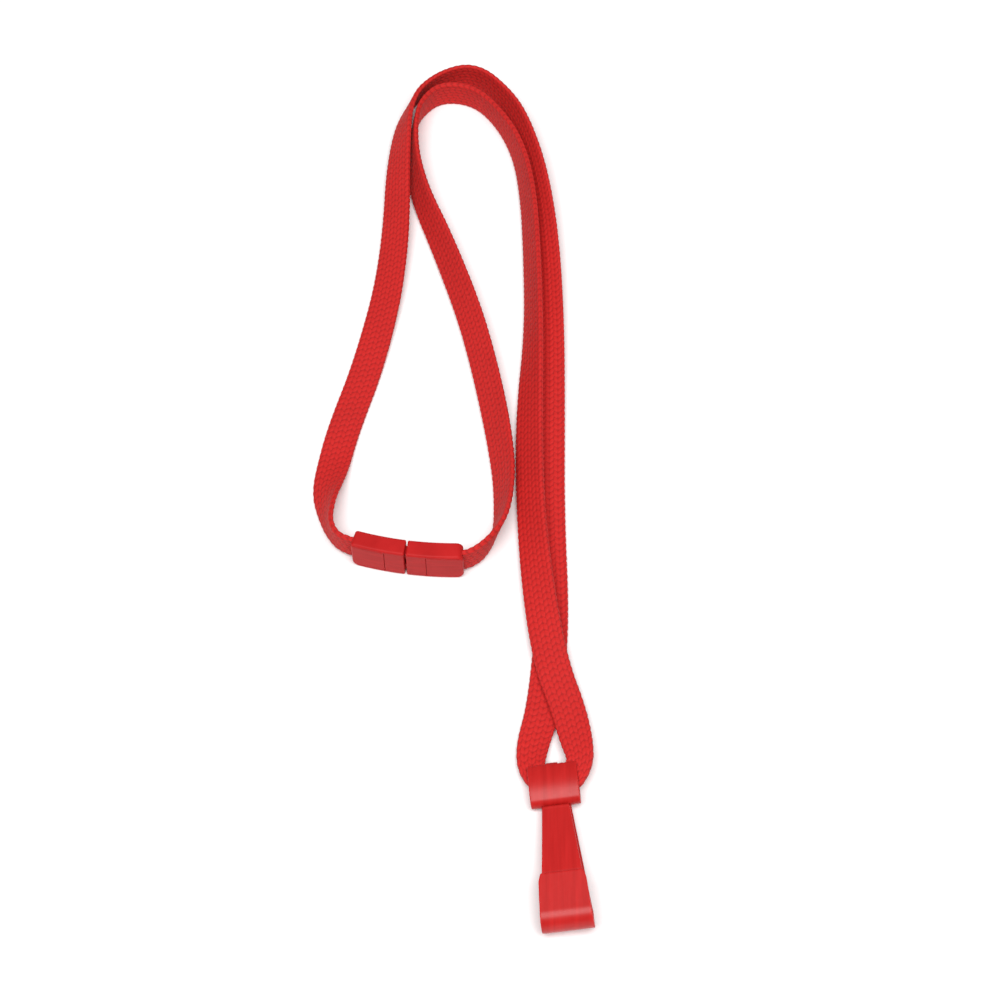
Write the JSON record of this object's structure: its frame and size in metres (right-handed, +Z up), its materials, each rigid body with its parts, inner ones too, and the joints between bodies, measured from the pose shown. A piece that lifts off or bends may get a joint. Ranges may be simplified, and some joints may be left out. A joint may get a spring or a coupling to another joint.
{
  "type": "neck lanyard",
  "caption": "Flat braided neck lanyard in one loop, threaded through a wide one-piece badge hook with a sprung tongue, and joined at the neck by a breakaway connector with crimping lids.",
  "frame": {"origin": "on the table, under the middle of the box that the hook and the connector fill together", "axes": "+Z up from the table; +Y from the hook along the strap towards the neck bend; +X to the right seen from the hook's end"},
  "size_m": [0.081, 0.294, 0.0121],
  "materials": {
    "braid": "flat tubular plait of polyester yarn",
    "connector_plastic": "moulded, satin with a fine grain",
    "hook_plastic": "moulded, smooth, with soft flow lines"
  },
  "bodies": {
    "loop": {"strap": "braid", "socket_body": "connector_plastic"},
    "socket_cover": {"socket_lid": "connector_plastic"},
    "plug": {"plug_body": "connector_plastic"},
    "plug_cover": {"plug_lid": "connector_plastic"},
    "hook": {"hook_body": "hook_plastic"},
    "gate": {"hook_gate": "hook_plastic"}
  },
  "joints": [
    {"name": "socket_lid_hinge", "type": "hinge", "parent": "loop", "child": "socket_cover", "pos_m": [-0.00697, 0.04936, 0.011], "axis": [-0.9996, 0.0271, 0], "range_deg": [0, 95]},
    {"name": "breakaway_pull", "type": "slide", "parent": "loop", "child": "plug", "axis": [-0.9903, 0.1392, 0], "range_m": [0, 0.02], "deforming": ["strap"]},
    {"name": "plug_lid_hinge", "type": "hinge", "parent": "plug", "child": "plug_cover", "pos_m": [-0.02933, 0.05246, 0.011], "axis": [-0.9684, 0.2495, 0], "range_deg": [0, 95]},
    {"name": "hook_swing", "type": "hinge", "parent": "loop", "child": "hook", "pos_m": [0.02315, -0.01201, 0.00362], "axis": [-0.9891, -0.0831, -0.1219], "range_deg": [0, 70], "deforming": ["strap"]},
    {"name": "gate_press", "type": "hinge", "parent": "hook", "child": "gate", "pos_m": [0.02399, -0.02348, 0.00456], "axis": [0.9891, 0.0831, 0.1219], "range_deg": [0, 8], "stiffness_Nm_per_rad": 0.02, "springref_deg": -2.86}
  ]
}
